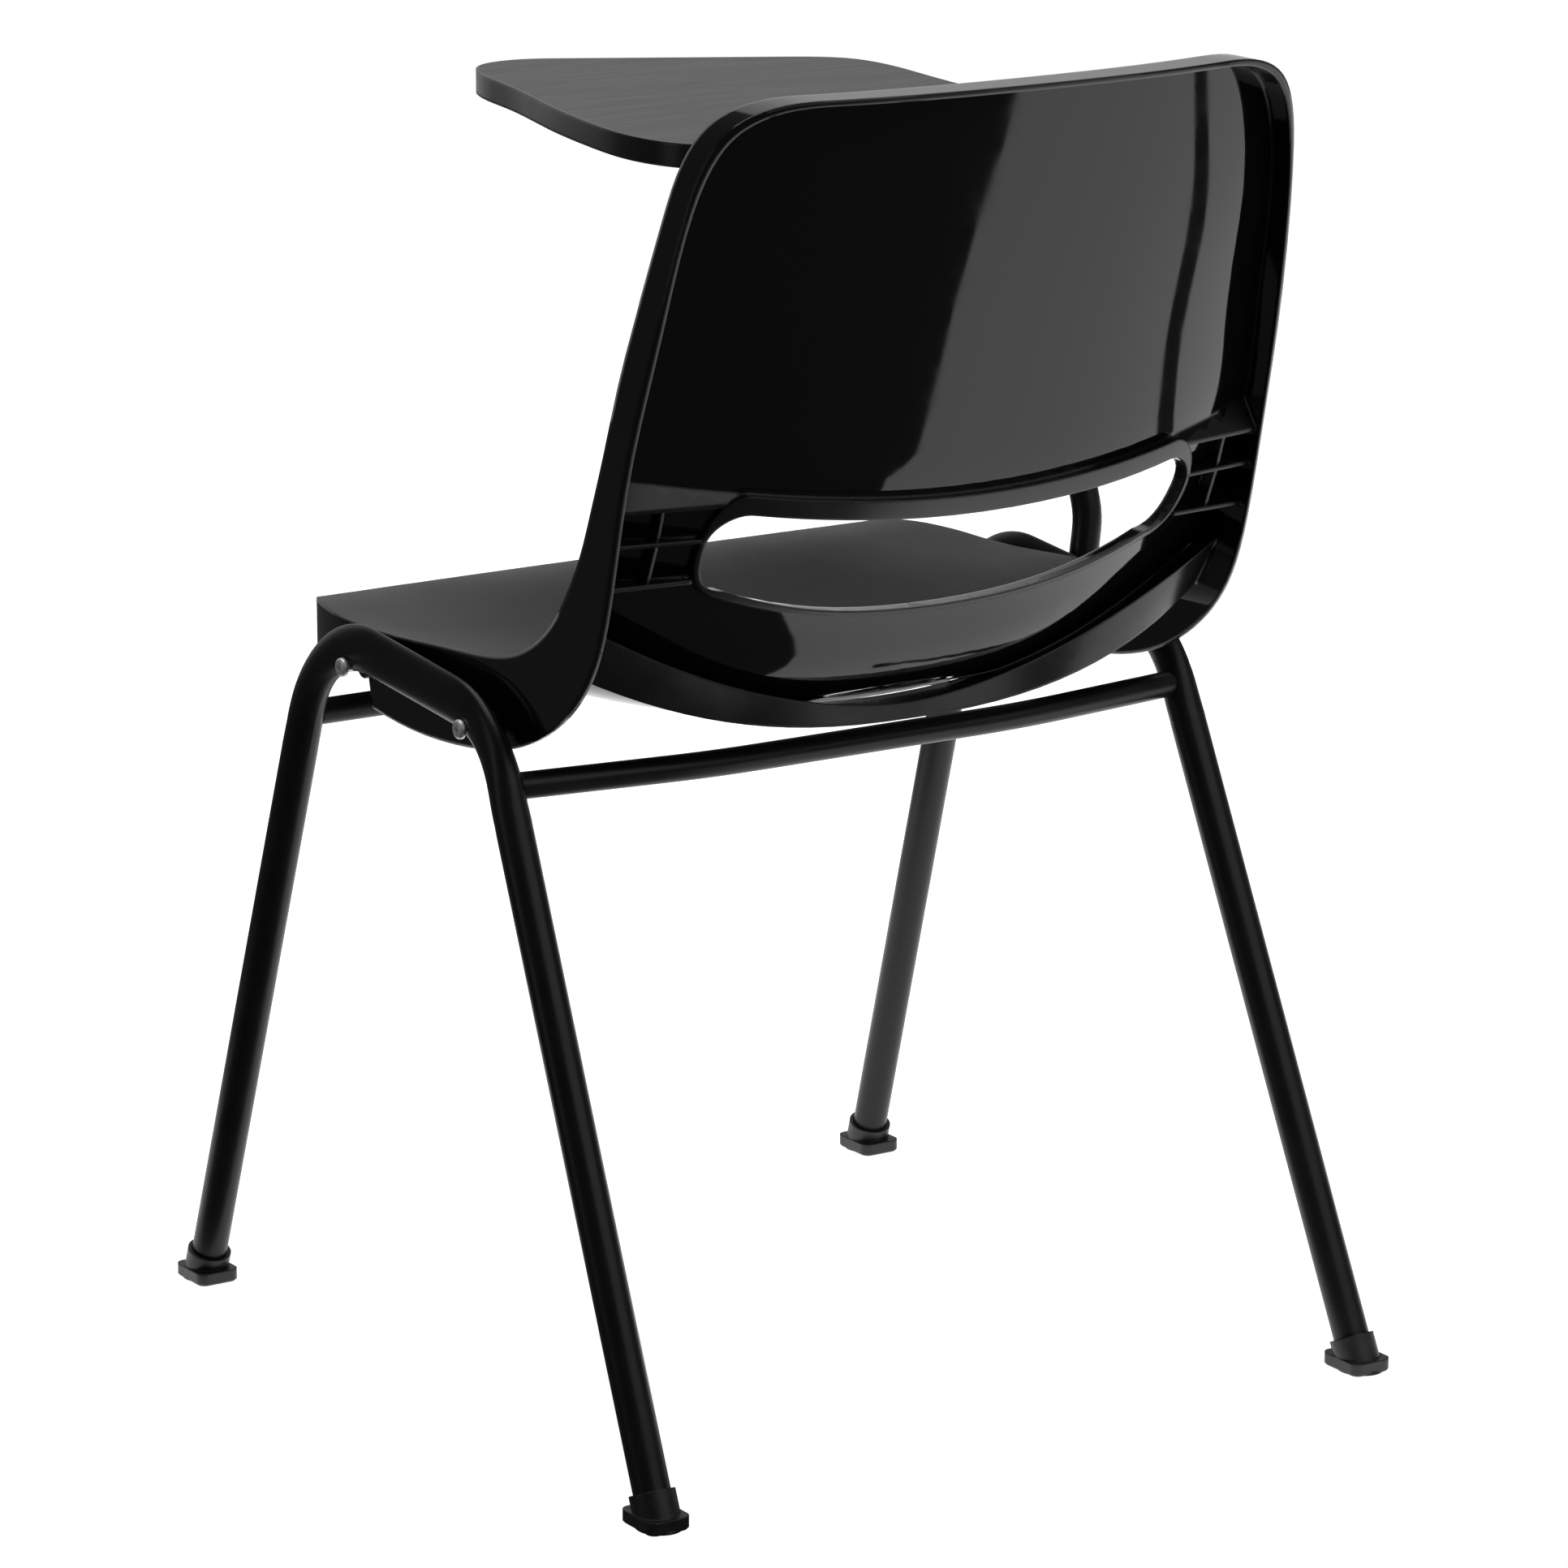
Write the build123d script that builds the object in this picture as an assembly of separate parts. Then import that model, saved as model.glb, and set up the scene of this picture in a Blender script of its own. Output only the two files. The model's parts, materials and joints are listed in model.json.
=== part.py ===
from build123d import *
import math
import os

# Stacking classroom chair with a right-hand flip-up writing tablet.
# Millimetres.  While it is drawn, X = 0 is the chair's middle plane (+X is the sitter's left),
# the sitter faces -Y, and the floor is Z = 0.  At the end every piece is moved together so that
# the origin is the centre of the whole chair's footprint, at floor level.

# ---- steel frame ----
LEG_R = 11.0              # 22 mm round tube
TUBE_WALL = 1.5
FOOT_X = 250.0            # leg axis at the floor
FRONT_FOOT_Y = -284.0
REAR_FOOT_Y = 254.0
FRONT_CORNER = (-141.0, 446.6)   # where leg and rail axes meet, (Y, Z)
REAR_CORNER = (57.4, 428.0)
SIDE_TILT = math.degrees(math.atan(11.0 / 392.0))    # the side frames lean in towards the seat
FRONT_BEND_R = 75.0
REAR_BEND_R = 70.0
RAIL_HALF_HEIGHT = 14.5   # the rail under the seat is the same tube pressed to an oval
RAIL_HALF_WIDTH = 6.0
TUBE_END_Z = 6.0          # the tube stops inside its glide
BLEND = 26.0              # length of leg over which the pressing fades out
CROSSBAR_R = 8.0
REAR_BAR = (74.0, 392.0)
FRONT_BAR = (-160.0, 388.0)
REAR_BAR_BOW = 18.0

# ---- moulded seat shell ----
HALF_WIDTH = 225.0
PANEL_T = 4.5
RIM_T = 3.5
DISH_POWER = 2.4
MIDDLE_PROFILE = [
    (-224, 402), (-236, 420), (-229, 438), (-205, 447), (-145, 442), (-75, 427), (0, 414), (60, 412),
    (110, 426), (135, 449), (147, 474), (162, 502), (180, 528), (197, 556), (206, 592), (214, 640),
    (227, 720), (240, 804.5),
]
SIDE_PROFILE = [
    (-216, 408), (-226, 424), (-218, 441), (-196, 448.5), (-140, 449.5), (-75, 451), (-20, 455.5),
    (20, 458.5), (57, 465.5), (84, 478), (104, 494), (121, 516), (134, 538), (145, 565), (156, 598),
    (167, 645), (187, 720), (200, 804.5),
]
MIDDLE_REAR = [
    (266, 804.5), (253, 740), (240, 660), (226, 580), (210, 520), (180, 470), (120, 431), (60, 410),
    (8, 400), (-54, 397), (-104, 401),
]
SIDE_REAR = [
    (224, 804.5), (213, 740), (196, 660), (176, 580), (162, 520), (143, 470), (104, 431), (60, 410),
    (8, 400), (-54, 397), (-104, 401),
]
SKIRT_STEP = (-109, 423)
FRONT_SKIRT = (-188, 418)
SHELL_TOP = 804.0
SLOT_HALF_WIDTH = 167.0
LIP_HEIGHT = 6.5
SLOT_TOP_BAND = 3.4          # the lip is this much taller over the slot
RIB_T = 2.4
# each rib's height, then its rear edge (Y) at the slot's end and at the rim
RIBS = ((547.0, 177.0, 166.0), (521.0, 163.0, 158.0))
RIB_START = 168.5
# the ledge over the ribs, (Y, Z) at its end over the slot and at the rim
LEDGE_START = 152.0
LEDGE_INNER = [(110, 612), (180, 600), (188, 569.2), (188, 566.8), (110, 574)]
LEDGE_OUTER = [(110, 604), (156, 592), (172, 569.2), (172, 566.8), (110, 574)]
UPRIGHT_X = 195.0
UPRIGHT = [(90, 521), (158, 521), (169, 547), (176, 568), (90, 568)]

# ---- fasteners ----
SCREW_PLACES = [(-103.0, 428.7), (34.0, 419.2)]
SCREW_R = 3.0
HEAD_R = 5.8
CLEAR_R = 3.25
BOSS_R = 8.5
BOSS_GAP = 0.9
HEAD_GAP = 0.7

# ---- tablet arm ----
ARM_R = 9.25
ARM_WALL = 1.5
AXIS_X = -248.0
TABLET_TOP = 720.0
CORE_T = 13.4
LAMINATE_T = 0.8
BACKER_T = 0.8
BAND_T = 2.0
AXIS_DROP = 12.5          # tube axis to the underside of the tablet
BUSH_R = 11.2
STRAP_T = 2.0
STRAP_WIDTH = 26.0
STRAP_Y = (-281.0, -178.0)
STOP_Y = -230.0
STOP_LENGTH = 40.0
RUN_CLEARANCE = 0.05
SEAT_GAP = 0.3            # left between pieces that only rest on each other


NODES = {}
LOW = (Align.CENTER, Align.CENTER, Align.MIN)      # a cylinder that starts at its location


def keep(name, shape):
    """File one finished piece under its node name."""
    NODES[name] = Compound(list(shape.solids()))


def across_chair(side, x, y, z):
    """Location whose local +Z points outwards across the chair."""
    return Pos(side * x, y, z) * Rot(0, side * 90, 0)


# ------------------------------------------------------------------ seat shell

def dish(x):
    """0 on the middle plane, 1 at the side rim."""
    return min(1.0, abs(x) / HALF_WIDTH) ** DISH_POWER


def mix(middle, side, x):
    """Profile points at x, between the middle profile and the side profile."""
    g = dish(x)
    return [(a[0] + (b[0] - a[0]) * g, a[1] + (b[1] - a[1]) * g) for a, b in zip(middle, side)]


def offset_profile(points, distance):
    """Profile points moved off the sitter's side, square to the profile."""
    moved = []
    for i, (y, z) in enumerate(points):
        before = points[max(i - 1, 0)]
        after = points[min(i + 1, len(points) - 1)]
        dy, dz = after[0] - before[0], after[1] - before[1]
        length = math.hypot(dy, dz)
        moved.append((y + distance * dz / length, z - distance * dy / length))
    return moved


def at_x(points, x):
    return [Vector(x, y, z) for y, z in points]


def body_section(x):
    """Closed side-view outline at x, between the sitter's surface and the rim's free edge."""
    front = at_x(mix(MIDDLE_PROFILE, SIDE_PROFILE, x), x)
    rear = at_x(mix(MIDDLE_REAR, SIDE_REAR, x), x)
    step = Vector(x, *SKIRT_STEP)
    skirt = Vector(x, *FRONT_SKIRT)
    edges = [
        Spline(*front),
        Line(front[-1], rear[0]),
        Spline(*rear),
        Line(rear[-1], step),
        Line(step, skirt),
        Line(skirt, front[0]),
    ]
    return Face(Wire(edges))


def hollow_section(x, wall=PANEL_T):
    """Closed side-view outline at x of everything behind the panel's thickness."""
    front = offset_profile(mix(MIDDLE_PROFILE, SIDE_PROFILE, x), wall)
    front = [(front[0][0] + 2, front[0][1] - 20)] + front + [(front[-1][0] + 5, front[-1][1] + 30)]
    front = at_x(front, x)
    top = Vector(x, 330, front[-1].Z)
    low = Vector(x, 330, front[0].Z)
    edges = [Spline(*front), Line(front[-1], top), Line(top, low), Line(low, front[0])]
    return Face(Wire(edges))


def across(section, half_width, stations=9):
    """Loft a side-view outline across the chair."""
    xs = [half_width * (2.0 * i / (stations - 1) - 1.0) for i in range(stations)]
    return loft([section(x) for x in xs])


def back_outline(inset):
    """Front-view outline (X, Z) of the back, extruded fore and aft."""
    w = HALF_WIDTH - inset
    top = SHELL_TOP - inset
    half = [(w, 520), (w - 1.5, 600), (w - 8.5, 680), (w - 16.5, 740), (w - 23, top - 37)]
    half += [(w - 36, top - 15.5), (w - 58, top - 3.8), (w - 90, top - 0.6)]
    left = [(-x, z) for x, z in reversed(half)]
    outline = [
        Line((w, 380), half[0]),
        Spline(*half, tangents=[(0, 1), (-1, 0)], tangent_scalars=[1, 1]),
        Line(half[-1], left[0]),
        Spline(*left, tangents=[(-1, 0), (0, -1)], tangent_scalars=[1, 1]),
        Line(left[-1], (-w, 380)),
        Line((-w, 380), (w, 380)),
    ]
    face = Plane.XZ * make_face(outline)
    return extrude(face, 400, both=True)


def seat_outline(inset):
    """Plan outline (X, Y) of the seat's front corners, extruded upwards."""
    w = HALF_WIDTH - inset
    front = -236.5 + inset
    half = [(w, -128), (w - 2.5, -155), (w - 9, -182), (w - 24, -210), (w - 55, front + 10)]
    half += [(w - 110, front + 3), (0, front)]
    left = [(-x, y) for x, y in reversed(half)]
    outline = [
        Line((w, 400), half[0]),
        Spline(*half, tangents=[(0, -1), (-1, 0)]),
        Spline(*left, tangents=[(-1, 0), (0, 1)]),
        Line(left[-1], (-w, 400)),
        Line((-w, 400), (w, 400)),
    ]
    return extrude(make_face(outline), 1000)


def slot_outline(grow):
    """Front-view outline (X, Z) of the hand slot, extruded fore and aft."""
    w = SLOT_HALF_WIDTH + grow
    top = SLOT_TOP_BAND * grow
    upper = [(w - 22, 561.5 + top), (100, 555.5 + top), (0, 549.5 + top)]
    upper += [(-100, 555.5 + top), (22 - w, 561.5 + top)]
    lower = [(20 - w, 513 - grow), (-100, 498 - grow), (0, 488 - grow)]
    lower += [(100, 498 - grow), (w - 20, 513 - grow)]
    right_end = [(w - 20, 513 - grow), (w - 4, 522), (w, 536), (w - 1, 550)]
    right_end += [(w - 9, 558.5 + 0.7 * top), (w - 22, 561.5 + top)]
    left_end = [(-x, z) for x, z in reversed(right_end)]
    outline = [Spline(*upper), Spline(*left_end), Spline(*lower), Spline(*right_end)]
    return extrude(Plane.XZ * make_face(outline), 400, both=True)


def lip_section(x):
    """Side-view outline at x of a layer behind the sitter's surface, for the slot's lip."""
    profile = mix(MIDDLE_PROFILE, SIDE_PROFILE, x)[8:16]
    front = at_x(offset_profile(profile, 0.5 * PANEL_T), x)
    rear = at_x(offset_profile(profile, PANEL_T + LIP_HEIGHT), x)
    edges = [Spline(*front), Line(front[-1], rear[-1]), Spline(*reversed(rear)), Line(rear[0], front[0])]
    return Face(Wire(edges))


def apron_section(x):
    """Side-view outline at x of the flared apron that ties the two skirts under the slot."""
    u = abs(x) / 215.0
    root = (104 - 6 * u, 421.3 + 58.4 * u ** DISH_POWER)
    crest = (134 + 2 * u, 423.6 + 68.4 * u ** 1.8)
    edge = (140 - 23 * u ** 3, 415 + 46.4 * u ** 2.4)
    outline = [
        root, crest, edge, (edge[0] - 3.2, edge[1] + 0.4), (crest[0] - 3.0, crest[1] - 4.2),
        (root[0] - 1.0, root[1] - 2.6),
    ]
    points = at_x(outline, x)
    return Face(Wire([Line(a, b) for a, b in zip(points, points[1:] + points[:1])]))


def box_between(low, high):
    """A box from its lowest and highest corners."""
    size = [h - l for l, h in zip(low, high)]
    return Pos(*low) * Box(*size, align=(Align.MIN, Align.MIN, Align.MIN))


def rib_root_section(x):
    """Where the ribs may reach: half way into the panel."""
    return hollow_section(x, 0.5 * PANEL_T)


def outline_face(points):
    """Flat face inside the closed run of points."""
    return Face(Wire([Line(a, b) for a, b in zip(points, points[1:] + points[:1])]))


def rib_pieces(side):
    """Ledge, ribs and upright rib between the slot's end and the rim, on one side."""
    outer = side * (HALF_WIDTH - 3)
    ends = [(LEDGE_INNER, side * LEDGE_START), (LEDGE_OUTER, outer)]
    pieces = [loft([outline_face(at_x(outline, x)) for outline, x in ends], ruled=True)]
    for z, inner_rear, outer_rear in RIBS:
        inner = side * RIB_START
        corners = [(inner, 90), (outer, 90), (outer, outer_rear), (inner, inner_rear)]
        face = outline_face([Vector(x, y, z - RIB_T / 2) for x, y in corners])
        pieces.append(extrude(face, RIB_T, dir=(0, 0, 1)))
    upright = outline_face(at_x(UPRIGHT, side * UPRIGHT_X - RIB_T / 2))
    pieces.append(extrude(upright, RIB_T, dir=(1, 0, 0)))
    root = across(rib_root_section, HALF_WIDTH + 3)
    return [piece & root for piece in pieces]


def make_seat_shell():
    body = across(body_section, HALF_WIDTH + 1) & back_outline(0) & seat_outline(0)
    hollow = across(hollow_section, HALF_WIDTH + 3) & back_outline(RIM_T) & seat_outline(RIM_T)
    lip = across(lip_section, SLOT_HALF_WIDTH + 6, 7) & slot_outline(3.5)
    shell = (body - hollow) + lip - slot_outline(0)
    shell += across(apron_section, HALF_WIDTH - 2, 11)
    for side in (-1, 1):
        for piece in rib_pieces(side):
            shell += piece
    for side in (-1, 1):
        for y, z in SCREW_PLACES:
            start = HALF_WIDTH - 0.5 * RIM_T
            length = screw_face_x() - start
            shell += across_chair(side, start, y, z) * Cylinder(BOSS_R, length, align=LOW)
    for side in (-1, 1):
        for y, z in SCREW_PLACES:
            shell -= across_chair(side, 200, y, z) * Cylinder(CLEAR_R, 60, align=LOW)
    return shell


# ------------------------------------------------------------------ frame

def rail_x(z=424.0):
    """Distance of the side frame's plane from the middle at height z."""
    return FOOT_X - z * math.tan(math.radians(SIDE_TILT))


def screw_face_x():
    """X of the boss faces that the pressed rail is drawn up to."""
    return rail_x() - RAIL_HALF_WIDTH - BOSS_GAP


def side_plane(side):
    """Plane of one side frame: local x runs aft, local y runs up the frame."""
    tilt = math.radians(SIDE_TILT)
    normal = (math.cos(tilt), 0, side * math.sin(tilt))
    return Plane(origin=(side * FOOT_X, 0, 0), x_dir=(0, 1, 0), z_dir=normal)


def leg_point(foot_y, corner, z):
    """Point (Y, Z) of a leg's axis at height z."""
    return (foot_y + (corner[0] - foot_y) * z / corner[1], z)


def frame_path(side):
    up = 1.0 / math.cos(math.radians(SIDE_TILT))
    front = leg_point(FRONT_FOOT_Y, FRONT_CORNER, TUBE_END_Z)
    rear = leg_point(REAR_FOOT_Y, REAR_CORNER, TUBE_END_Z)
    points = [front, FRONT_CORNER, REAR_CORNER, rear]
    points = [(y, z * up) for y, z in points]
    path = FilletPolyline(*points, radius=[FRONT_BEND_R, REAR_BEND_R])
    return Wire((side_plane(side) * path).edges())


def oval(path, at, half_width, half_height):
    """Elliptical section square to the path, its width across the chair."""
    here = path.position_at(at)
    along = path.tangent_at(at)
    plane = Plane(origin=here, x_dir=(1, 0, 0), z_dir=along)
    return (plane * Ellipse(half_width, half_height)).face()


def tube_run(path, start, end, start_size, end_size, inset, steps):
    """Lofted stretch of the tube between two distances along its path, easing from one oval to the next."""
    sections = []
    for i in range(steps + 1):
        t = i / steps
        ease = t * t * (3 - 2 * t)
        w = start_size[0] + (end_size[0] - start_size[0]) * ease - inset
        h = start_size[1] + (end_size[1] - start_size[1]) * ease - inset
        sections.append(oval(path, (start + (end - start) * t) / path.length, w, h))
    return loft(sections, ruled=steps == 1)


def frame_solid(side, inset):
    """One bent tube, round in the legs and pressed oval in the rail."""
    path = frame_path(side)
    front_leg, front_bend, rail, rear_bend, rear_leg = [edge.length for edge in path.edges()]
    round_tube = (LEG_R, LEG_R)
    pressed = (RAIL_HALF_WIDTH, RAIL_HALF_HEIGHT)
    marks = [0, front_leg - BLEND, front_leg + front_bend, front_leg + front_bend + rail]
    marks += [marks[-1] + rear_bend + BLEND, path.length]
    shapes = [round_tube, round_tube, pressed, pressed, round_tube, round_tube]
    solid = None
    for i in range(5):
        steps = 1 if i % 2 == 0 else 10
        run = tube_run(path, marks[i], marks[i + 1], shapes[i], shapes[i + 1], inset, steps)
        solid = run if solid is None else solid + run
    return solid


def make_side_frame(side):
    frame = frame_solid(side, 0) - frame_solid(side, TUBE_WALL)
    for y, z in SCREW_PLACES:
        frame -= across_chair(side, 215, y, z) * Cylinder(CLEAR_R, 60, align=LOW)
    return frame


def leg_gap(z):
    """How far a crossbar's end stands from the middle plane to meet the leg tube."""
    return rail_x(z) - 3.0


def bar_tube(points, radius, wall, bend=None):
    """Round tube along straight runs joined by arcs."""
    if bend:
        path = FilletPolyline(*points, radius=bend)
    else:
        path = Polyline(*points)
    start = Plane(origin=path @ 0, z_dir=path % 0)
    outer = sweep(start * Circle(radius), path=path)
    inner = sweep(start * Circle(radius - wall), path=path)
    return outer - inner


def make_crossbars():
    y, z = REAR_BAR
    end = leg_gap(z)
    bend_x = 110.0
    rear = [(-end, y, z), (-bend_x, y + REAR_BAR_BOW, z), (bend_x, y + REAR_BAR_BOW, z), (end, y, z)]
    rear_bar = bar_tube(rear, CROSSBAR_R, 1.2, bend=450)
    y, z = FRONT_BAR
    end = leg_gap(z)
    front_bar = bar_tube([(-end, y, z), (end, y, z)], CROSSBAR_R, 1.2)
    legs = frame_solid(-1, 0) + frame_solid(1, 0)
    return rear_bar - legs, front_bar - legs


# ------------------------------------------------------------------ glides

def make_glide(foot_y, corner, side):
    """Moulded boot: a sleeve over the tube's end on a flat sole with a toe under the leg's lean."""
    toe = -1 if foot_y > 0 else 1
    foot = Vector(side * FOOT_X, foot_y, 0)
    upper_y, upper_z = leg_point(foot_y, corner, 60)
    upper = Vector(side * rail_x(upper_z), upper_y, upper_z)
    lean = (upper - foot).normalized()
    axis = Plane(origin=foot - lean * 12, x_dir=(1, 0, 0), z_dir=lean)
    sleeve = axis * Cylinder(13.6, 32, align=LOW)
    sole = Pos(foot.X, foot.Y + toe * 3.5, 0) * Box(28, 35, 8, align=LOW)
    sole = fillet(sole.edges().filter_by(Axis.Z), 6)
    sole = chamfer(sole.faces().sort_by(Axis.Z)[0].edges(), 1.2)
    boot = sleeve + sole
    boot &= box_between((foot.X - 60, foot.Y - 60, 0), (foot.X + 60, foot.Y + 60, 60))
    socket_start = foot + lean * (TUBE_END_Z / lean.Z - 0.5)
    socket = Plane(origin=socket_start, x_dir=(1, 0, 0), z_dir=lean)
    boot -= socket * Cylinder(LEG_R + 0.02, 60, align=LOW)
    plug = Plane(origin=socket_start - lean * 2, x_dir=(1, 0, 0), z_dir=lean)
    boot += plug * Cylinder(LEG_R - TUBE_WALL - 0.1, 20, align=LOW)
    return boot


# ------------------------------------------------------------------ frame fasteners

def make_frame_fasteners():
    outer_face = rail_x() + RAIL_HALF_WIDTH
    inner_face = HALF_WIDTH - RIM_T - SEAT_GAP
    for side, word in ((1, "left"), (-1, "right")):
        screws = []
        washers = []
        nuts = []
        for y, z in SCREW_PLACES:
            head_at = across_chair(side, outer_face + HEAD_GAP, y, z)
            head = head_at * Cylinder(HEAD_R, 3.4, align=LOW)
            head = fillet(head.faces().sort_by(Axis.X)[-1 if side > 0 else 0].edges(), 2.2)
            recess = across_chair(side, outer_face + HEAD_GAP + 1.6, y, z) * Cylinder(1.9, 4, align=LOW)
            shank_start = inner_face - 9.5
            shank = across_chair(side, shank_start, y, z)
            shank *= Cylinder(SCREW_R, outer_face + HEAD_GAP + 0.3 - shank_start, align=LOW)
            screws.append(head + shank - recess)
            washer = Cylinder(6.2, 1.2, align=LOW) - Cylinder(SCREW_R + 0.15, 3)
            washers.append(across_chair(side, inner_face - 1.2, y, z) * washer)
            nut = extrude(RegularPolygon(5.7, 6), 5.5) - Cylinder(SCREW_R, 20)
            nuts.append(across_chair(side, inner_face - 1.4 - 5.5, y, z) * nut)
        keep(f"frame_screws_{word}", Compound(screws))
        keep(f"frame_washers_{word}", Compound(washers))
        keep(f"frame_lock_nuts_{word}", Compound(nuts))


# ------------------------------------------------------------------ tablet arm

ARM_AXIS_Z = TABLET_TOP - LAMINATE_T - CORE_T - BACKER_T - AXIS_DROP
ARM_ROUTE = [
    (-(238 + 6.0 + ARM_R), -50, 424),
    (-263.5, -56, 470),
    (AXIS_X, -112, ARM_AXIS_Z),
    (AXIS_X, -318, ARM_AXIS_Z),
]


def make_arm_tube():
    return bar_tube(ARM_ROUTE, ARM_R, ARM_WALL, bend=[60, 55])


def make_arm_plug():
    """Domed plastic plug in the open front end of the arm tube."""
    end_y = ARM_ROUTE[-1][1]
    face = Plane(origin=(AXIS_X, end_y, ARM_AXIS_Z), x_dir=(1, 0, 0), z_dir=(0, -1, 0))
    cap = Pos(0, 0, 0.1) * Cylinder(ARM_R, 2.6, align=LOW)
    cap = fillet(cap.faces().sort_by(Axis.Z)[-1].edges(), 1.6)
    stem = Pos(0, 0, -12) * Cylinder(ARM_R - ARM_WALL - 0.05, 13, align=LOW)
    return face * (cap + stem)


def ring(y, length, inner_r, outer_r):
    """A ring about the tablet's hinge axis, centred at y."""
    at = Pos(AXIS_X, y, ARM_AXIS_Z) * Rot(90, 0, 0)
    return at * (Cylinder(outer_r, length) - Cylinder(inner_r, length + 2))


def make_stop_saddle():
    """Plate welded round the arm tube: the tablet lands on one wing when down, the other when up."""
    reach = AXIS_DROP - SEAT_GAP
    inner = ARM_R + 0.02
    low_y, high_y = STOP_Y - STOP_LENGTH / 2, STOP_Y + STOP_LENGTH / 2
    saddle = ring(STOP_Y, STOP_LENGTH, inner, reach)
    keep_upper = box_between((AXIS_X - 30, low_y, ARM_AXIS_Z), (AXIS_X, high_y, ARM_AXIS_Z + 30))
    saddle &= keep_upper
    flat = box_between((AXIS_X, low_y, ARM_AXIS_Z + inner), (AXIS_X + 46, high_y, ARM_AXIS_Z + reach))
    upright = box_between((AXIS_X - reach, low_y, ARM_AXIS_Z - 26), (AXIS_X - inner, high_y, ARM_AXIS_Z))
    return saddle + flat + upright


def make_strap(y):
    """Sheet strap that passes under the arm tube, with an ear each side screwed to the tablet."""
    inner = BUSH_R + 0.02
    outer = inner + STRAP_T
    top = ARM_AXIS_Z + AXIS_DROP
    low_y, high_y = y - STRAP_WIDTH / 2, y + STRAP_WIDTH / 2
    bow = ring(y, STRAP_WIDTH, inner, outer)
    bow &= box_between((AXIS_X - 30, low_y, ARM_AXIS_Z - 30), (AXIS_X + 30, high_y, ARM_AXIS_Z))
    strap = bow
    for side in (-1, 1):
        near, far = sorted((AXIS_X + side * inner, AXIS_X + side * outer))
        strap += box_between((near, low_y, ARM_AXIS_Z), (far, high_y, top))
        near, far = sorted((AXIS_X + side * inner, AXIS_X + side * 25.5))
        strap += box_between((near, low_y, top - STRAP_T), (far, high_y, top))
    for side in (-1, 1):
        hole = Pos(AXIS_X + side * 19.3, y, top)
        strap -= hole * Cylinder(2.1, 20)
    return strap


def inset_curve(curve, inset, steps):
    """The same plan curve moved to its left by the inset."""
    points = []
    for step in range(steps + 1):
        along = curve % (step / steps)
        points.append(curve @ (step / steps) + Vector(-along.Y, along.X, 0) * inset)
    return Spline(*points, tangents=[curve % 0, curve % 1], tangent_scalars=[1, 1])


def tablet_edge(inset):
    """Plan outline (X, Y) of the writing tablet: a slanted front, a full belly and a slim elbow rest."""
    front_right, front_left = (-247, -377), (-120, -451)
    front = Vector(front_left[0] - front_right[0], front_left[1] - front_right[1], 0).normalized()
    aside = Vector(-1, 0, 0)
    elbow = (-236, 26)
    belly = [
        front_left, (-92, -462), (-64, -456), (-43, -426), (-30, -368), (-8, -280), (8, -200), (12, -144),
        (-2, -104), (-38, -84), (-90, -74), (-146, -64), (-186, -44), (-203, -14), (-214, 14), elbow,
    ]
    outer = [elbow, (-260, 14), (-267, -20), (-268, -90), (-272, -180), (-279, -262), (-283.5, -318)]
    outer += [(-276, -352), front_right]
    curves = [
        Line(front_right, front_left),
        Spline(*belly, tangents=[front, aside], tangent_scalars=[1, 1]),
        Spline(*outer, tangents=[aside, front], tangent_scalars=[1, 1]),
    ]
    if inset:
        curves = [inset_curve(curve, inset, steps) for curve, steps in zip(curves, (1, 48, 28))]
    return make_face(curves)


def make_tablet():
    bottom = TABLET_TOP - LAMINATE_T - CORE_T - BACKER_T
    inner = tablet_edge(BAND_T)
    outer = tablet_edge(0)
    core = Pos(0, 0, bottom + BACKER_T) * extrude(inner, CORE_T)
    top = Pos(0, 0, TABLET_TOP - LAMINATE_T) * extrude(inner, LAMINATE_T)
    backer = Pos(0, 0, bottom) * extrude(inner, BACKER_T)
    band = Pos(0, 0, bottom) * extrude(outer, TABLET_TOP - bottom)
    band -= Pos(0, 0, bottom - 1) * extrude(inner, TABLET_TOP - bottom + 2)
    return core, top, backer, band


def make_tablet_screws():
    """Wood screws up through the strap ears, and the pilot holes they fill."""
    top = ARM_AXIS_Z + AXIS_DROP
    screws = []
    for y in STRAP_Y:
        for side in (-1, 1):
            at = Pos(AXIS_X + side * 19.3, y, top - STRAP_T)
            shank = Pos(0, 0, -0.4) * Cylinder(2.0, 13.4, align=LOW)
            head = Pos(0, 0, -2.2) * Cylinder(3.9, 2.15, align=LOW)
            head = fillet(head.faces().sort_by(Axis.Z)[0].edges(), 1.3)
            drive = Pos(0, 0, -3) * Cylinder(1.3, 1.9, align=LOW)
            screws.append(at * (shank + head - drive))
    return Compound(screws)


# ------------------------------------------------------------------ assembly

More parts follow.
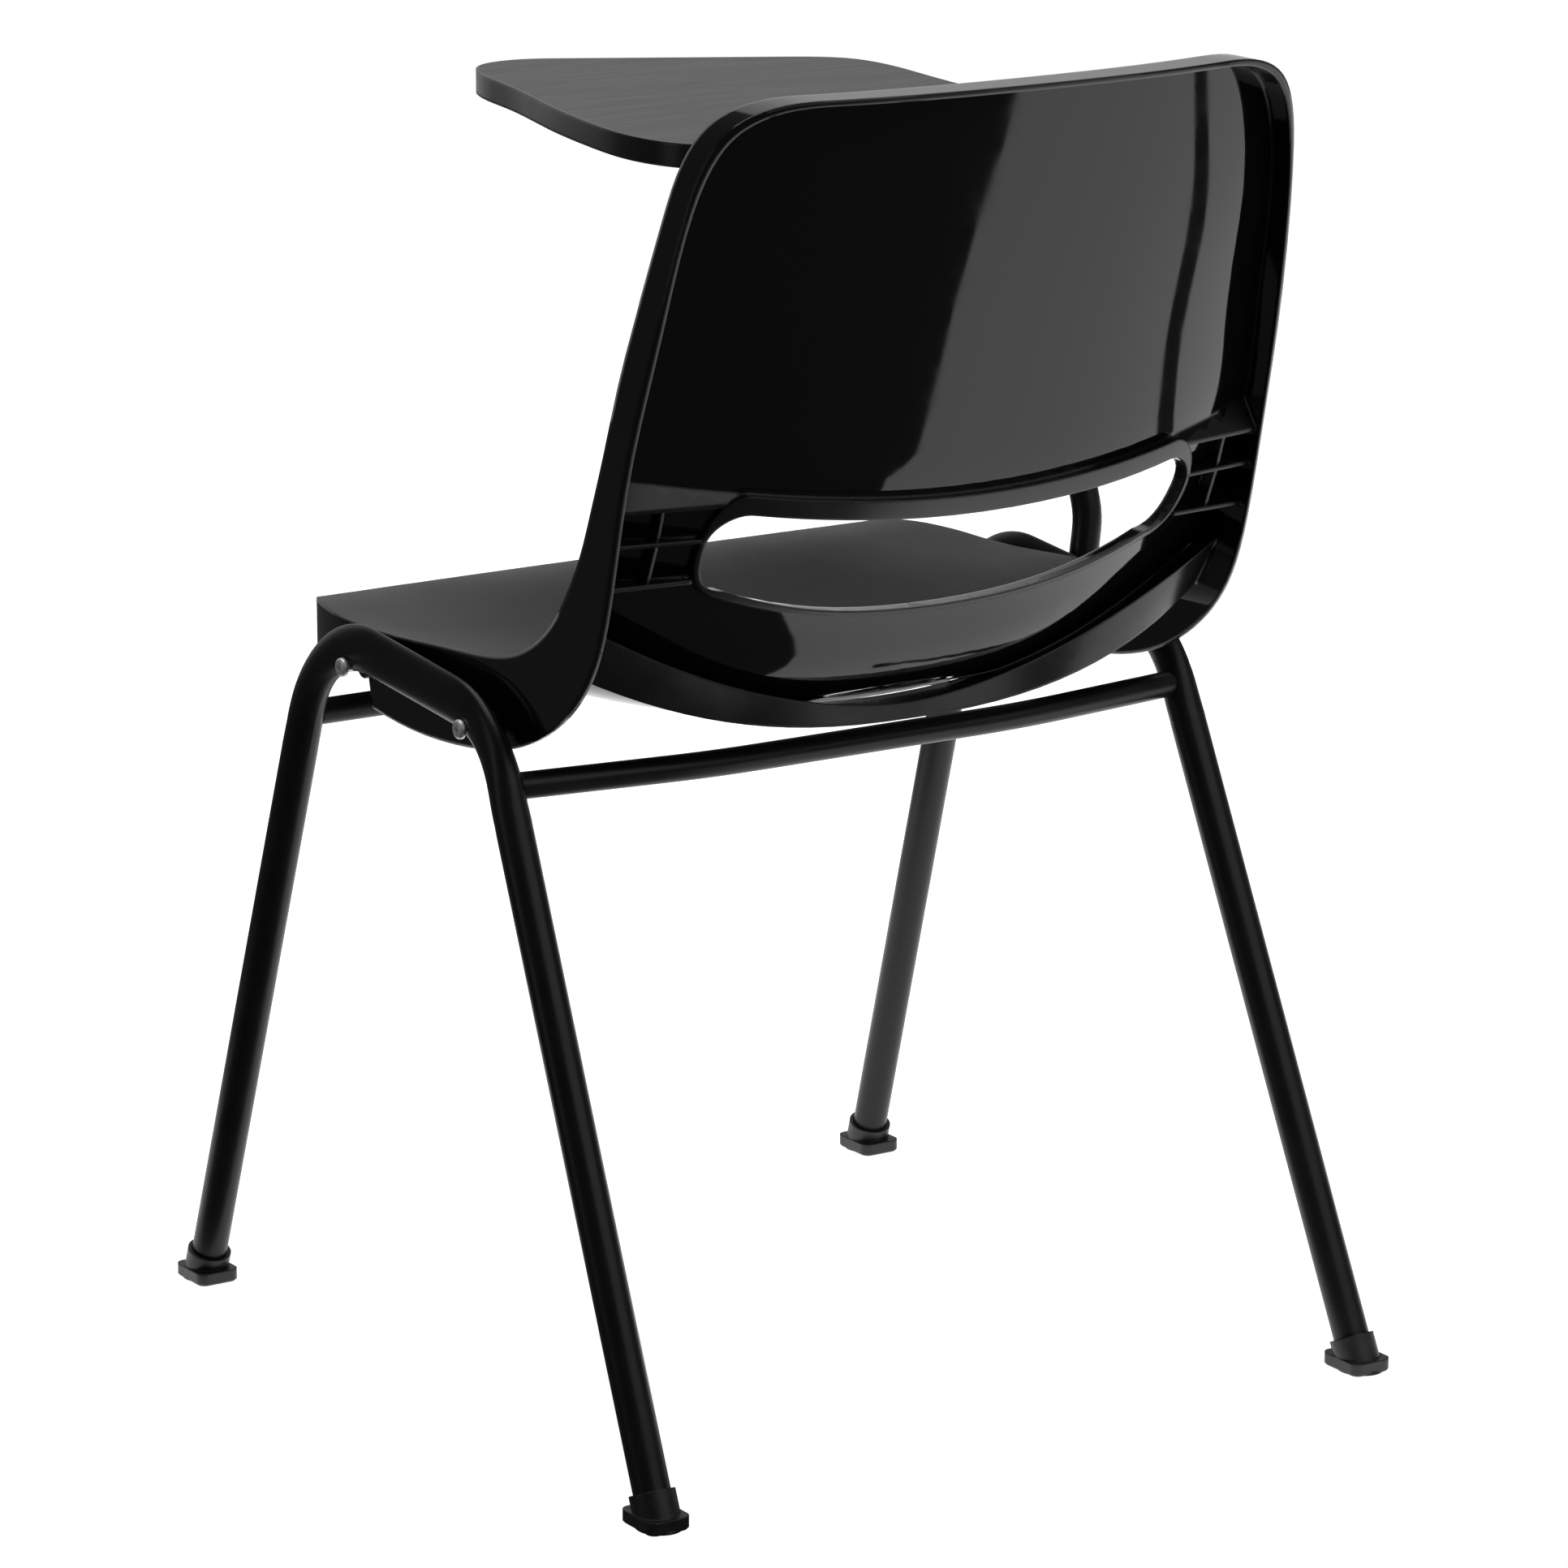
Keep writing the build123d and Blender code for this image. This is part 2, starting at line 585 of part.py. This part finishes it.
def make_all():
    keep("seat_shell", make_seat_shell())
    keep("side_frame_left", make_side_frame(1))
    keep("side_frame_right", make_side_frame(-1))
    rear_bar, front_bar = make_crossbars()
    keep("rear_crossbar", rear_bar)
    keep("front_crossbar", front_bar)
    for side, word in ((1, "left"), (-1, "right")):
        keep(f"glide_front_{word}", make_glide(FRONT_FOOT_Y, FRONT_CORNER, side))
        keep(f"glide_rear_{word}", make_glide(REAR_FOOT_Y, REAR_CORNER, side))
    make_frame_fasteners()
    keep("arm_tube", make_arm_tube())
    keep("arm_end_plug", make_arm_plug())
    keep("flip_stop_saddle", make_stop_saddle())
    core, top, backer, band = make_tablet()
    screws = make_tablet_screws()
    keep("tablet_core", core - screws)
    keep("tablet_laminate", top)
    keep("tablet_backer", backer - screws)
    keep("tablet_edge_band", band)
    for word, y in zip(("front", "rear"), STRAP_Y):
        keep(f"hinge_strap_{word}", make_strap(y))
        keep(f"hinge_bush_{word}", ring(y, STRAP_WIDTH, ARM_R + RUN_CLEARANCE, BUSH_R))
    keep("tablet_screws", screws)


make_all()
os.makedirs("parts", exist_ok=True)
whole = Compound(list(NODES.values())).bounding_box()
centre = Pos(-round(whole.center().X, 1), -round(whole.center().Y, 1), 0)
for name, shape in NODES.items():
    export_step(centre * shape, f"parts/{name}.step", precision_mode=PrecisionMode.LEAST)
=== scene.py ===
import json
import math

import bpy
import numpy as np
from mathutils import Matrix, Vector


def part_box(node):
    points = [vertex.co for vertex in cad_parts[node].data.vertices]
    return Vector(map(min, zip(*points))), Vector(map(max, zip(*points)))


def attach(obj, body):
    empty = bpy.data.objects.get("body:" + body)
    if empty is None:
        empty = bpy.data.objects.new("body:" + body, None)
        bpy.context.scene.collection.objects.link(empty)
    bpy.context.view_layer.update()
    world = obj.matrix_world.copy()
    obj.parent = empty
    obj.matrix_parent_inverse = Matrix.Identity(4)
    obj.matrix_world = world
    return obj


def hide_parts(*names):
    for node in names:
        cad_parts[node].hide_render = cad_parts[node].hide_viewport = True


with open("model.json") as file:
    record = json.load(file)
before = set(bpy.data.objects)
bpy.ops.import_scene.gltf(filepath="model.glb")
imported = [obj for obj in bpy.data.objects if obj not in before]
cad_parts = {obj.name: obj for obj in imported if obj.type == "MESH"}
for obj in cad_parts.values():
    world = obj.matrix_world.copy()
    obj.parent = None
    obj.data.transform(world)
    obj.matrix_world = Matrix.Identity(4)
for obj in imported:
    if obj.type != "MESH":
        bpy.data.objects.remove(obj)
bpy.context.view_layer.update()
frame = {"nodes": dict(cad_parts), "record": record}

MM = 1000.0                # millimetres in a metre

# the chair's middle plane and the zero of its side view, in the frame, in millimetres
MIDDLE = MM * sum(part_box("rear_crossbar")[i].x for i in (0, 1)) / 2
AFT = 96.7


# ------------------------------------------------------------------ materials

def new_material(name):
    """A new material, its node tree and its main shader."""
    material = bpy.data.materials.new(name)
    material.use_nodes = True
    tree = material.node_tree
    shader = tree.nodes["Principled BSDF"]
    return material, tree, shader


def node(tree, kind, **settings):
    """A new node with its sockets or properties set."""
    made = tree.nodes.new(kind)
    for key, value in settings.items():
        if key in made.inputs:
            made.inputs[key].default_value = value
        else:
            setattr(made, key, value)
    return made


def object_coordinates(tree, scale=(1, 1, 1), rotation=(0, 0, 0)):
    place = node(tree, "ShaderNodeTexCoord")
    mapping = node(tree, "ShaderNodeMapping")
    mapping.inputs["Scale"].default_value = scale
    mapping.inputs["Rotation"].default_value = rotation
    tree.links.new(place.outputs["Object"], mapping.inputs["Vector"])
    return mapping.outputs["Vector"]


def noise(tree, vector, scale, detail=3.0, roughness=0.5):
    made = node(tree, "ShaderNodeTexNoise")
    made.inputs["Scale"].default_value = scale
    made.inputs["Detail"].default_value = detail
    made.inputs["Roughness"].default_value = roughness
    tree.links.new(vector, made.inputs["Vector"])
    return made.outputs["Fac"]


def ramp(tree, value, low, high, to_low, to_high):
    made = node(tree, "ShaderNodeMapRange")
    made.inputs["From Min"].default_value = low
    made.inputs["From Max"].default_value = high
    made.inputs["To Min"].default_value = to_low
    made.inputs["To Max"].default_value = to_high
    tree.links.new(value, made.inputs["Value"])
    return made.outputs["Result"]


def colour_between(tree, value, low, high, a, b):
    made = node(tree, "ShaderNodeValToRGB")
    made.color_ramp.elements[0].position = low
    made.color_ramp.elements[0].color = (*a, 1)
    made.color_ramp.elements[1].position = high
    made.color_ramp.elements[1].color = (*b, 1)
    tree.links.new(value, made.inputs["Fac"])
    return made.outputs["Color"]


def bump(tree, height, distance, strength, normal=None):
    made = node(tree, "ShaderNodeBump")
    made.inputs["Distance"].default_value = distance
    made.inputs["Strength"].default_value = strength
    tree.links.new(height, made.inputs["Height"])
    if normal is not None:
        tree.links.new(normal, made.inputs["Normal"])
    return made.outputs["Normal"]


def rounded(tree, radius):
    """Normals that round every hard edge by the radius."""
    made = node(tree, "ShaderNodeBevel", samples=6)
    made.inputs["Radius"].default_value = radius
    return made.outputs["Normal"]


def shell_gloss():
    """Polished mould face: deep black, mirror-like, with the faint swirls of handling."""
    material, tree, shader = new_material("shell_gloss")
    at = object_coordinates(tree)
    shader.inputs["Base Color"].default_value = (0.0035, 0.0035, 0.0038, 1)
    shader.inputs["IOR"].default_value = 1.5
    swirl = noise(tree, at, 38.0, 4.0, 0.62)
    tree.links.new(ramp(tree, swirl, 0.35, 0.75, 0.030, 0.075), shader.inputs["Roughness"])
    wave = noise(tree, at, 9.0, 1.0, 0.4)
    edge = rounded(tree, 0.0034)
    tree.links.new(bump(tree, wave, 0.0004, 0.06, edge), shader.inputs["Normal"])
    return material


def shell_grain():
    """Sitter's side of the shell: the same black with a fine spark-eroded grain."""
    material, tree, shader = new_material("shell_grain")
    at = object_coordinates(tree)
    grain = noise(tree, at, 900.0, 2.0, 0.6)
    cloud = noise(tree, at, 14.0, 3.0, 0.5)
    shader.inputs["IOR"].default_value = 1.5
    colour = colour_between(tree, cloud, 0.3, 0.75, (0.012, 0.012, 0.0125), (0.020, 0.020, 0.0205))
    tree.links.new(colour, shader.inputs["Base Color"])
    tree.links.new(ramp(tree, cloud, 0.3, 0.7, 0.40, 0.48), shader.inputs["Roughness"])
    edge = rounded(tree, 0.0034)
    tree.links.new(bump(tree, grain, 0.0003, 0.7, edge), shader.inputs["Normal"])
    return material


def shell_satin():
    """Satin black of the shell's ribs, ledges and apron, which the mould's slides leave less polished."""
    material, tree, shader = new_material("shell_satin")
    at = object_coordinates(tree)
    cloud = noise(tree, at, 30.0, 3.0, 0.55)
    shader.inputs["IOR"].default_value = 1.5
    colour = colour_between(tree, cloud, 0.3, 0.7, (0.008, 0.008, 0.0084), (0.012, 0.012, 0.0124))
    tree.links.new(colour, shader.inputs["Base Color"])
    tree.links.new(ramp(tree, cloud, 0.3, 0.7, 0.24, 0.32), shader.inputs["Roughness"])
    edge = rounded(tree, 0.0022)
    tree.links.new(bump(tree, cloud, 0.0002, 0.1, edge), shader.inputs["Normal"])
    return material


def powder_coat():
    """Satin black powder coat with its fine orange peel."""
    material, tree, shader = new_material("powder_coat")
    at = object_coordinates(tree)
    peel = noise(tree, at, 620.0, 2.0, 0.5)
    patch = noise(tree, at, 22.0, 3.0, 0.55)
    shader.inputs["IOR"].default_value = 1.5
    colour = colour_between(tree, patch, 0.3, 0.7, (0.0065, 0.0065, 0.007), (0.0095, 0.0095, 0.010))
    tree.links.new(colour, shader.inputs["Base Color"])
    tree.links.new(ramp(tree, patch, 0.3, 0.7, 0.30, 0.38), shader.inputs["Roughness"])
    shader.inputs["Specular IOR Level"].default_value = 0.30
    edge = rounded(tree, 0.0008)
    tree.links.new(bump(tree, peel, 0.00015, 0.35, edge), shader.inputs["Normal"])
    return material


def nylon():
    """Matte moulded nylon of the glides and end plug, scuffed near the floor."""
    material, tree, shader = new_material("nylon")
    at = object_coordinates(tree)
    scuff = noise(tree, at, 160.0, 5.0, 0.65)
    shader.inputs["IOR"].default_value = 1.5
    colour = colour_between(tree, scuff, 0.45, 0.8, (0.008, 0.008, 0.0085), (0.022, 0.022, 0.022))
    tree.links.new(colour, shader.inputs["Base Color"])
    tree.links.new(ramp(tree, scuff, 0.3, 0.8, 0.36, 0.55), shader.inputs["Roughness"])
    edge = rounded(tree, 0.0014)
    tree.links.new(bump(tree, scuff, 0.0002, 0.2, edge), shader.inputs["Normal"])
    return material


def zinc():
    """Bright zinc-plated steel with fine turning marks."""
    material, tree, shader = new_material("zinc")
    at = object_coordinates(tree, scale=(40, 400, 400))
    lines = noise(tree, at, 6.0, 2.0, 0.6)
    shader.inputs["Metallic"].default_value = 1.0
    colour = colour_between(tree, lines, 0.3, 0.7, (0.82, 0.82, 0.83), (0.95, 0.95, 0.95))
    tree.links.new(colour, shader.inputs["Base Color"])
    tree.links.new(ramp(tree, lines, 0.3, 0.7, 0.42, 0.56), shader.inputs["Roughness"])
    tree.links.new(rounded(tree, 0.0005), shader.inputs["Normal"])
    return material


def laminate():
    """Charcoal laminate with a faint grain that runs across the tablet."""
    material, tree, shader = new_material("laminate")
    along = object_coordinates(tree, scale=(6, 90, 6), rotation=(0, 0, 0.35))
    streak = noise(tree, along, 2.2, 6.0, 0.62)
    at = object_coordinates(tree)
    fine = noise(tree, at, 700.0, 2.0, 0.5)
    shader.inputs["IOR"].default_value = 1.5
    colour = colour_between(tree, streak, 0.32, 0.72, (0.030, 0.030, 0.031), (0.052, 0.052, 0.053))
    tree.links.new(colour, shader.inputs["Base Color"])
    tree.links.new(ramp(tree, streak, 0.3, 0.7, 0.34, 0.46), shader.inputs["Roughness"])
    tree.links.new(bump(tree, fine, 0.0001, 0.3), shader.inputs["Normal"])
    return material


def band():
    """Smooth black edge band."""
    material, tree, shader = new_material("band")
    at = object_coordinates(tree)
    wear = noise(tree, at, 28.0, 2.0, 0.5)
    shader.inputs["IOR"].default_value = 1.5
    colour = colour_between(tree, wear, 0.3, 0.8, (0.004, 0.004, 0.0044), (0.0055, 0.0055, 0.0058))
    tree.links.new(colour, shader.inputs["Base Color"])
    tree.links.new(ramp(tree, wear, 0.3, 0.7, 0.24, 0.29), shader.inputs["Roughness"])
    tree.links.new(rounded(tree, 0.0022), shader.inputs["Normal"])
    return material


def particle_board():
    """Cut face of particle board."""
    material, tree, shader = new_material("particle_board")
    at = object_coordinates(tree)
    chip = node(tree, "ShaderNodeTexVoronoi")
    chip.inputs["Scale"].default_value = 420.0
    tree.links.new(at, chip.inputs["Vector"])
    colour = colour_between(tree, chip.outputs["Distance"], 0.1, 0.8, (0.42, 0.30, 0.18), (0.62, 0.49, 0.33))
    tree.links.new(colour, shader.inputs["Base Color"])
    shader.inputs["Roughness"].default_value = 0.8
    return material


def acetal():
    """Natural acetal of the hinge bushes."""
    material, tree, shader = new_material("acetal")
    at = object_coordinates(tree)
    cloud = noise(tree, at, 120.0, 3.0, 0.5)
    colour = colour_between(tree, cloud, 0.3, 0.7, (0.62, 0.61, 0.57), (0.70, 0.69, 0.65))
    tree.links.new(colour, shader.inputs["Base Color"])
    tree.links.new(ramp(tree, cloud, 0.3, 0.7, 0.28, 0.4), shader.inputs["Roughness"])
    return material


def paint(obj, material):
    """Give a CAD piece one material."""
    obj.data.materials.clear()
    obj.data.materials.append(material)


# ------------------------------------------------------------------ seat shell

# The same side-view profiles the shell is moulded to, (Y, Z) in millimetres from the chair's own zero.
HALF_WIDTH = 225.0
DISH_POWER = 2.4

# which faces of the shell belong to what, in millimetres from the sitter's surface or in the side view
PANEL_REACH = 13.0         # the panel's own faces lie nearer than this
SAME_WAY = 0.955           # and face the way the panel does, as a cosine
SKIN = 1.2                 # the sitter's side lies nearer than this
SKIN_WAY = 0.7
CLEAR_OF_PANEL = 7.0       # ribs, ledges and apron lie further than this
INSIDE_RIM = 218.0
BEHIND_SEAT = 95.0
BELOW_BACK = 620.0
GLOSS, GRAIN, SATIN = range(3)

MIDDLE_PROFILE = [
    (-224, 402), (-236, 420), (-229, 438), (-205, 447), (-145, 442), (-75, 427), (0, 414), (60, 412),
    (110, 426), (135, 449), (147, 474), (162, 502), (180, 528), (197, 556), (206, 592), (214, 640),
    (227, 720), (240, 804.5),
]
SIDE_PROFILE = [
    (-216, 408), (-226, 424), (-218, 441), (-196, 448.5), (-140, 449.5), (-75, 451), (-20, 455.5),
    (20, 458.5), (57, 465.5), (84, 478), (104, 494), (121, 516), (134, 538), (145, 565), (156, 598),
    (167, 645), (187, 720), (200, 804.5),
]


def smooth_curve(points, count):
    """Natural cubic spline through the points by chord length, sampled evenly."""
    p = np.array(points, float)
    t = np.concatenate([[0.0], np.cumsum(np.hypot(*np.diff(p, axis=0).T))])
    h = np.diff(t)
    n = len(p)
    a = np.eye(n)
    rhs = np.zeros((n, 2))
    for i in range(1, n - 1):
        a[i, i - 1:i + 2] = h[i - 1], 2 * (h[i - 1] + h[i]), h[i]
        rhs[i] = 6 * ((p[i + 1] - p[i]) / h[i] - (p[i] - p[i - 1]) / h[i - 1])
    bend = np.linalg.solve(a, rhs)
    at = np.linspace(0, t[-1], count)
    k = np.clip(np.searchsorted(t, at, side="right") - 1, 0, n - 2)
    u, v = (t[k + 1] - at)[:, None], (at - t[k])[:, None]
    hk = h[k][:, None]
    curved = (bend[k] * u ** 3 + bend[k + 1] * v ** 3) / (6 * hk)
    return curved + (p[k] / hk - bend[k] * hk / 6) * u + (p[k + 1] / hk - bend[k + 1] * hk / 6) * v


class Moulding:
    """The sitter's surface as a grid of points and true normals, in millimetres."""

    def __init__(self, step=4.0, count=640):
        self.step = step
        self.xs = np.arange(-228, 228 + step, step)
        middle, side = np.array(MIDDLE_PROFILE, float), np.array(SIDE_PROFILE, float)
        rows = []
        for x in self.xs:
            g = min(1.0, abs(x) / HALF_WIDTH) ** DISH_POWER
            curve = smooth_curve(middle + (side - middle) * g, count)
            rows.append(np.column_stack([np.full(count, x), curve]))
        self.points = np.array(rows)
        across, along = np.gradient(self.points, axis=0), np.gradient(self.points, axis=1)
        normals = np.cross(across, along)
        self.normals = normals / np.linalg.norm(normals, axis=2)[..., None]

    def nearest(self, where):
        """For each point: distance from the surface, and the surface's normal there."""
        i = np.clip(((where[:, 0] - self.xs[0]) / self.step).astype(int), 0, len(self.xs) - 2)
        f = ((where[:, 0] - self.xs[i]) / self.step)[:, None]
        distance, normal = np.empty(len(where)), np.empty((len(where), 3))
        for start in range(0, len(where), 4000):
            part = slice(start, start + 4000)
            fi = f[part][:, :, None]
            curve = self.points[i[part]] * (1 - fi) + self.points[i[part] + 1] * fi
            away = np.hypot(curve[:, :, 1] - where[part, 1][:, None], curve[:, :, 2] - where[part, 2][:, None])
            j = away.argmin(axis=1)
            rows = np.arange(len(j))
            distance[part] = away[rows, j]
            found = self.normals[i[part], j] * (1 - f[part]) + self.normals[i[part] + 1, j] * f[part]
            normal[part] = found / np.linalg.norm(found, axis=1)[:, None]
        return distance, normal


def read(items, name):
    """A vector property of every item, one row each."""
    values = np.empty(len(items) * 3)
    items.foreach_get(name, values)
    return values.reshape(-1, 3)


def make_shell():
    """The shell with its true smooth normals: gloss behind, grain in front, satin ribs and apron."""
    source = frame["nodes"]["seat_shell"].data
    mesh = source.copy()
    mesh.name = "shell_moulding"
    shell = bpy.data.objects.new("shell_moulding", mesh)
    bpy.context.scene.collection.objects.link(shell)
    mesh.materials.clear()
    for make in (shell_gloss, shell_grain, shell_satin):
        mesh.materials.append(make())

    where = read(mesh.vertices, "co") * MM - (MIDDLE, AFT, 0)
    distance, normal = Moulding().nearest(where)

    loops = np.empty(len(mesh.loops), int)
    mesh.loops.foreach_get("vertex_index", loops)
    corner = read(mesh.corner_normals, "vector")
    flat = read(mesh.polygons, "normal")
    sides = np.array([p.loop_total for p in mesh.polygons])
    starts = np.concatenate([[0], np.cumsum(sides)[:-1]])
    face_of = np.repeat(np.arange(len(sides)), sides)

    facing = (normal[loops] * flat[face_of]).sum(axis=1)
    near = distance[loops] < PANEL_REACH
    smooth = near & (np.abs(facing) > SAME_WAY)
    whole = np.minimum.reduceat(smooth.astype(int), starts) > 0
    use = whole[face_of]
    corner[use] = normal[loops[use]] * np.sign(facing[use])[:, None]
    mesh.polygons.foreach_set("use_smooth", np.ones(len(mesh.polygons), bool))
    mesh.normals_split_custom_set([tuple(c) for c in corner])

    towards = np.add.reduceat(facing, starts) / sides
    front = (np.maximum.reduceat(distance[loops], starts) < SKIN) & (towards > SKIN_WAY)
    centre = np.add.reduceat(where[loops], starts, axis=0) / sides[:, None]
    clear = np.add.reduceat(distance[loops], starts) / sides > CLEAR_OF_PANEL
    behind = (np.abs(centre[:, 0]) < INSIDE_RIM) & (centre[:, 1] > BEHIND_SEAT) & (centre[:, 2] < BELOW_BACK)
    kind = np.where(clear & behind, SATIN, np.where(front, GRAIN, GLOSS))
    mesh.polygons.foreach_set("material_index", kind)
    mesh.update()
    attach(shell, "chair")
    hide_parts("seat_shell")
    return shell


# ------------------------------------------------------------------ the rest of the chair

def dress_frame():
    coat, plastic, metal = powder_coat(), nylon(), zinc()
    top, edge, board, bush = laminate(), band(), particle_board(), acetal()
    by_slot = {
        "frame_paint": coat, "glide_plastic": plastic, "zinc_screw": metal, "board": board,
        "laminate": top, "edge_band": edge, "bush_plastic": bush,
    }
    for entry in frame["record"]["subparts"]:
        material = by_slot.get(entry["material_slot"])
        if material is not None:
            paint(frame["nodes"][entry["node"]], material)


# ------------------------------------------------------------------ studio

ALONG = Vector((-0.73, 0.68, 0)).normalized()      # the sweep runs off this way
ASIDE = Vector((0.68, 0.73, 0)).normalized()
FAR = 6.0
WIDE = -5.0
FRONT_END = -0.7           # the sweep stops here in front of the chair
EDGE = 0.565               # its edge towards the camera
GAP = (-0.525, -0.40)      # the unlit strip between its two sheets
GAP_START = 1.26
FLOOR_DROP = 0.0004
FLOOR_GLOW = 1.0
DIM, WHITE = 0.065, 1.0    # the room as the chair sees it, and as the picture does


def floor_piece(name, corners):
    """A flat piece of the white sweep from corners given as (aside, along), in metres."""
    points = [ASIDE * a + ALONG * s + Vector((0, 0, -FLOOR_DROP)) for a, s in corners]
    mesh = bpy.data.meshes.new(name)
    mesh.from_pydata([tuple(p) for p in points], [], [tuple(range(len(points)))])
    piece = bpy.data.objects.new(name, mesh)
    bpy.context.scene.collection.objects.link(piece)
    material, tree, shader = new_material(name)
    shader.inputs["Base Color"].default_value = (0.8, 0.8, 0.8, 1)
    shader.inputs["Roughness"].default_value = 0.9
    shader.inputs["Specular IOR Level"].default_value = 0.0
    shader.inputs["Emission Color"].default_value = (1, 1, 1, 1)
    shader.inputs["Emission Strength"].default_value = FLOOR_GLOW
    mesh.materials.append(material)
    return piece


def soft_box(name, place, aim, width, height, radiance):
    """A rectangular light at place, turned to aim, that the camera can't see."""
    light = bpy.data.lights.new(name, "AREA")
    light.shape = "RECTANGLE"
    light.size, light.size_y = width, height
    light.energy = radiance * math.pi * width * height
    lamp = bpy.data.objects.new(name, light)
    lamp.location = place
    lamp.rotation_mode = "QUATERNION"
    lamp.rotation_quaternion = (Vector(aim) - Vector(place)).to_track_quat("-Z", "Y")
    lamp.visible_camera = False
    bpy.context.scene.collection.objects.link(lamp)
    return lamp


def make_studio():
    floor_piece("floor_sweep", [
        (GAP[1], FAR), (GAP[1], GAP_START), (WIDE, GAP_START), (WIDE, FRONT_END), (0.05, FRONT_END),
        (0.10, 0.0), (0.28, 0.38), (EDGE, 1.0), (EDGE, FAR),
    ])
    floor_piece("floor_side", [(GAP[0], FAR), (WIDE, FAR), (WIDE, GAP_START), (GAP[0], GAP_START)])
    soft_box("back_light", (-0.9, -3.4, 1.5), (0, 0, 0.9), 4.6, 2.8, 0.5)
    soft_box("top_light", (-0.2, -0.4, 2.7), (0, 0, 0.5), 2.6, 2.2, 1.7)
    soft_box("side_light", (3.2, -0.6, 1.3), (0, 0, 0.6), 1.2, 2.2, 0.55)
    soft_box("near_light", (-0.8, 2.9, 2.3), (0, 0, 0.5), 3.6, 2.2, 0.9)

    world = bpy.data.worlds.new("studio")
    world.use_nodes = True
    tree = world.node_tree
    back = tree.nodes["Background"]
    path = node(tree, "ShaderNodeLightPath")
    level = ramp(tree, path.outputs["Is Camera Ray"], 0, 1, DIM, WHITE)
    back.inputs["Color"].default_value = (1, 1, 1, 1)
    tree.links.new(level, back.inputs["Strength"])
    bpy.context.scene.world = world


CAMERA_LENS = 159.1
CAMERA_TARGET_Z = 0.34508
CAMERA_BACK = Vector((0.5291, 0.8118, 0.2472)).normalized()
CAMERA_DISTANCE = 4.178


def make_camera():
    """A viewpoint behind the chair and to its left, looking a little down."""
    data = bpy.data.cameras.new("camera")
    data.lens = CAMERA_LENS
    data.sensor_width = 36.0
    data.clip_start, data.clip_end = 0.1, 60.0
    camera = bpy.data.objects.new("camera", data)
    target = Vector((MIDDLE / MM, AFT / MM, CAMERA_TARGET_Z))
    camera.location = target + CAMERA_BACK * CAMERA_DISTANCE
    camera.rotation_mode = "QUATERNION"
    camera.rotation_quaternion = (-CAMERA_BACK).to_track_quat("-Z", "Y")
    bpy.context.scene.collection.objects.link(camera)
    bpy.context.scene.camera = camera


make_shell()
dress_frame()
make_studio()
make_camera()
bpy.context.scene.view_settings.view_transform = "Standard"
